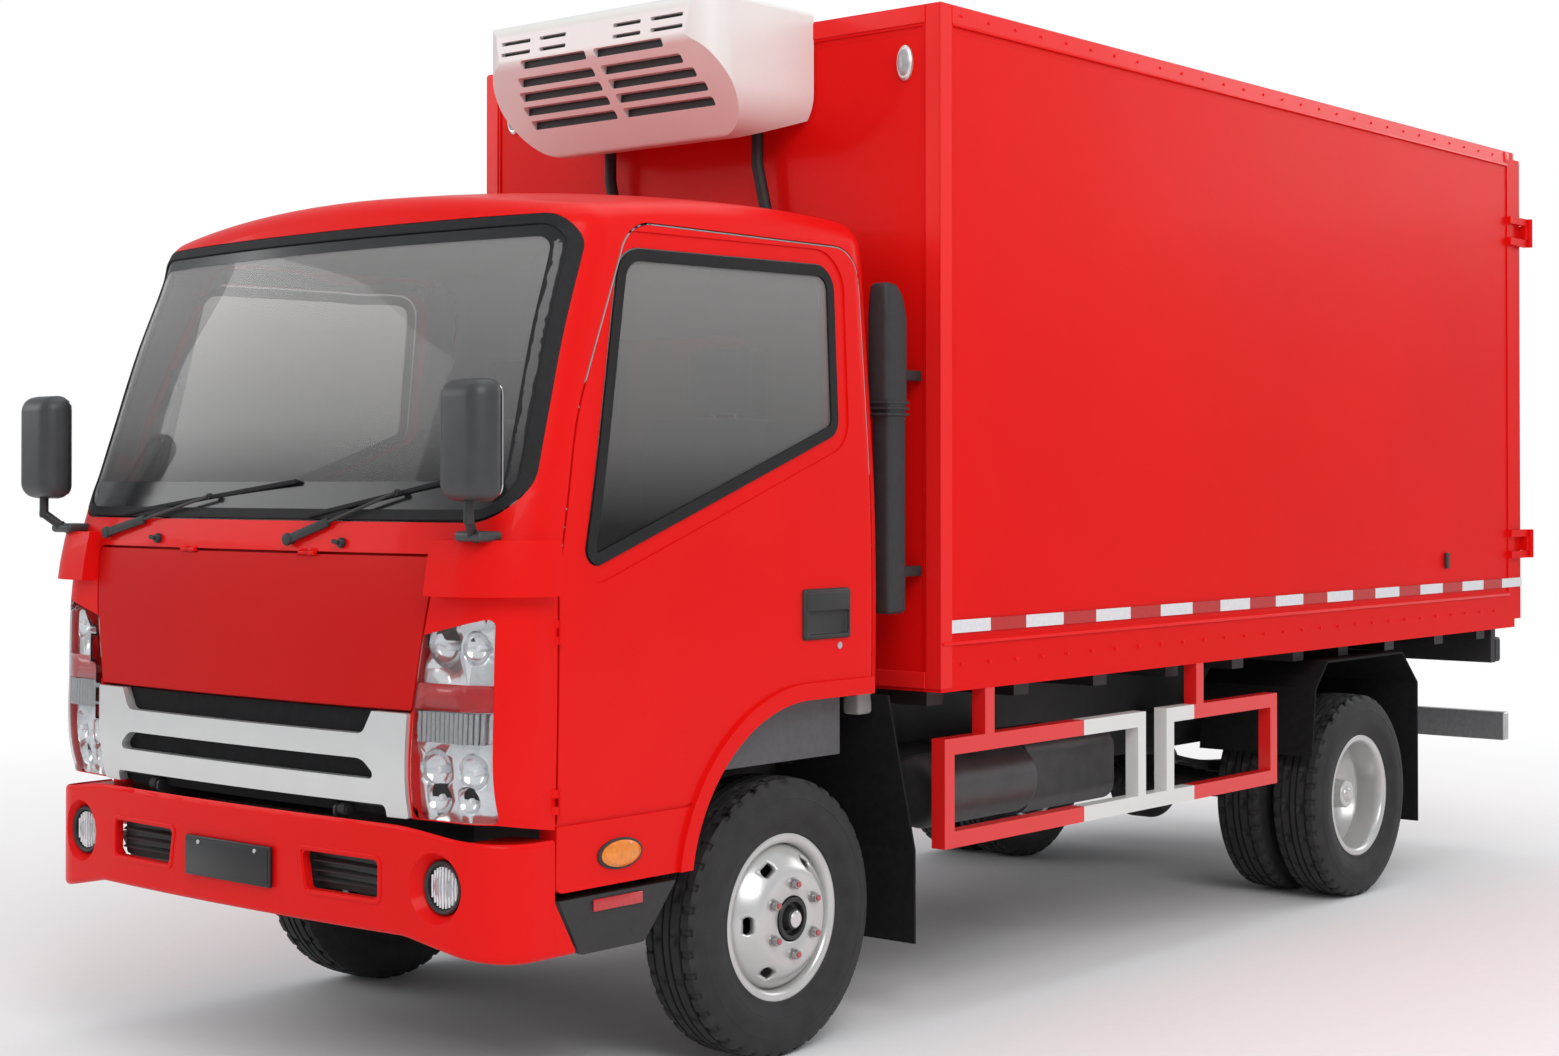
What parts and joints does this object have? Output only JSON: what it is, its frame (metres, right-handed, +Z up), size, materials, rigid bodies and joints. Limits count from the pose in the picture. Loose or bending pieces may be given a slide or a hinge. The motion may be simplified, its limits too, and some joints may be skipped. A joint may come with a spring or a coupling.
{
  "type": "refrigerated truck",
  "caption": "Light cab-over truck, all red, with an insulated box, a white cooling unit over the tilting cab, twin rear wheels, side guards and swinging rear doors.",
  "frame": {"origin": "on the ground under the middle of the outer box", "axes": "-Y is the truck's front, +X its left side, +Z up"},
  "size_m": [1.996, 6.043, 2.992],
  "materials": {
    "paint": "gloss red paint",
    "glass": "tinted clear",
    "chrome": "bright plated",
    "black_plastic": "matt moulded",
    "grey_plastic": "grained",
    "lamp": "clear lens",
    "red_lamp": "red lens",
    "seat_cloth": "woven",
    "frame_black": "satin black",
    "cast": "cast",
    "guard_steel": "grey paint",
    "box_red": "gloss red paint",
    "unit_white": "ivory white moulding",
    "hose_rubber": "matt",
    "tyre": "tread rubber",
    "wheel_steel": "silver paint"
  },
  "bodies": {
    "chassis": {"chassis_frame": "frame_black", "engine": "cast", "front_axle": "frame_black", "leaf_springs": "frame_black", "rear_axle": "frame_black", "front_bumper": "paint", "small_lamps": "lamp", "mudguards": "black_plastic", "tanks": "frame_black", "side_guards": "guard_steel", "rear_underrun": "guard_steel", "tail_lamps": "red_lamp", "air_intake": "grey_plastic", "box_floor": "frame_black", "box_walls": "box_red", "box_roof": "box_red", "box_trims": "box_red", "box_rear_frame": "box_red", "cooling_unit": "unit_white", "cooling_hoses": "hose_rubber"},
    "front_lid": {"front_lid": "paint"},
    "cab_door_left": {"cab_door_left": "paint", "door_glass_left": "glass", "door_handle_left": "grey_plastic"},
    "knuckle_left": {"knuckle_left": "frame_black"},
    "front_wheel_left": {"tyre_front_left": "tyre", "rim_front_left": "wheel_steel"},
    "rear_wheels_left": {"tyres_rear_left": "tyre", "rims_rear_left": "wheel_steel"},
    "box_door_left": {"box_door_left": "box_red", "lock_gear_left": "guard_steel"},
    "cab_door_right": {"cab_door_right": "paint", "door_glass_right": "glass", "door_handle_right": "grey_plastic"},
    "knuckle_right": {"knuckle_right": "frame_black"},
    "front_wheel_right": {"tyre_front_right": "tyre", "rim_front_right": "wheel_steel"},
    "rear_wheels_right": {"tyres_rear_right": "tyre", "rims_rear_right": "wheel_steel"},
    "box_door_right": {"box_door_right": "box_red", "lock_gear_right": "guard_steel"},
    "cab": {"cab_shell": "paint", "cab_glass": "glass", "grille": "chrome", "grille_backing": "black_plastic", "headlamps": "lamp", "cab_floor": "frame_black", "step_boxes": "black_plastic", "arch_liners": "black_plastic", "dashboard": "grey_plastic", "seats": "seat_cloth", "steering_wheel": "black_plastic", "mirrors": "grey_plastic"}
  },
  "joints": [
    {"name": "cab_tilt", "type": "hinge", "parent": "chassis", "child": "cab", "pos_m": [0, -2.9335, 0.75], "axis": [1, 0, 0], "range_deg": [0, 45]},
    {"name": "front_lid_hinge", "type": "hinge", "parent": "cab", "child": "front_lid", "pos_m": [0, -2.9375, 1.3855], "axis": [-1, 0, 0], "range_deg": [0, 70]},
    {"name": "cab_door_left_hinge", "type": "hinge", "parent": "cab", "child": "cab_door_left", "pos_m": [0.938, -2.7155, 1], "axis": [0, 0, -1], "range_deg": [0, 70]},
    {"name": "box_door_left_hinge", "type": "hinge", "parent": "chassis", "child": "box_door_left", "pos_m": [0.987, 3.0105, 1.96], "axis": [0, 0, -1], "range_deg": [0, 270]},
    {"name": "steer_left", "type": "hinge", "parent": "chassis", "child": "knuckle_left", "pos_m": [0.7, -1.8185, 0.38], "axis": [0, 0, 1], "range_deg": [-35, 35]},
    {"name": "front_wheel_left_spin", "type": "hinge", "parent": "knuckle_left", "child": "front_wheel_left", "pos_m": [0.8, -1.8185, 0.38], "axis": [1, 0, 0], "continuous": true},
    {"name": "rear_wheels_left_spin", "type": "hinge", "parent": "chassis", "child": "rear_wheels_left", "pos_m": [0.7445, 1.4895, 0.38], "axis": [1, 0, 0], "continuous": true},
    {"name": "cab_door_right_hinge", "type": "hinge", "parent": "cab", "child": "cab_door_right", "pos_m": [-0.938, -2.7155, 1], "axis": [0, 0, 1], "range_deg": [0, 70]},
    {"name": "box_door_right_hinge", "type": "hinge", "parent": "chassis", "child": "box_door_right", "pos_m": [-0.987, 3.0105, 1.96], "axis": [0, 0, 1], "range_deg": [0, 270]},
    {"name": "steer_right", "type": "hinge", "parent": "chassis", "child": "knuckle_right", "pos_m": [-0.7, -1.8185, 0.38], "axis": [0, 0, 1], "range_deg": [-35, 35]},
    {"name": "front_wheel_right_spin", "type": "hinge", "parent": "knuckle_right", "child": "front_wheel_right", "pos_m": [-0.8, -1.8185, 0.38], "axis": [1, 0, 0], "continuous": true},
    {"name": "rear_wheels_right_spin", "type": "hinge", "parent": "chassis", "child": "rear_wheels_right", "pos_m": [-0.7445, 1.4895, 0.38], "axis": [1, 0, 0], "continuous": true}
  ],
  "couplings": [
    {"joint": "steer_right", "follows": "steer_left", "ratio": 1}
  ]
}
